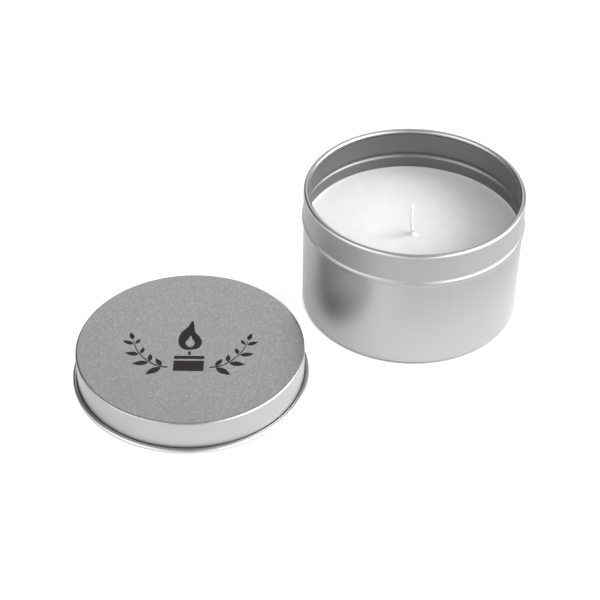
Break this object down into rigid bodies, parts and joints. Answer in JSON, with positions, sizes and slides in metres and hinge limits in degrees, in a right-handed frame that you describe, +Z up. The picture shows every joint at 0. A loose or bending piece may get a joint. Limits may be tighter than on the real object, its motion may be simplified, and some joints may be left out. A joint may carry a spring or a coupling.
{
  "type": "candle tin",
  "caption": "Round tinplate candle tin with a stop bead and rolled rim, filled with white wax round a waxed wick, and its slip lid lying beside it.",
  "frame": {"origin": "centre of the cup's flat base, on the surface it stands on", "axes": "+Z up along the cup's axis; the lid lies on the same surface along -X; +Y completes a right-handed frame"},
  "size_m": [0.1576, 0.0762, 0.0444],
  "materials": {
    "tinplate": "satin",
    "wax": "satin",
    "waxed_cotton": "matte",
    "tab_metal": "satin",
    "adhesive_foam": "matte",
    "printing_ink": "satin"
  },
  "bodies": {
    "tin": {"tin_body": "tinplate", "wax_fill": "wax", "wick": "waxed_cotton", "wick_sustainer": "tab_metal", "wick_sticker": "adhesive_foam"},
    "lid": {"lid": "tinplate"}
  },
  "joints": [
    {"name": "lid_lift", "type": "slide", "parent": "tin", "child": "lid", "axis": [0, 0, 1], "range_m": [0, 0.05]}
  ]
}
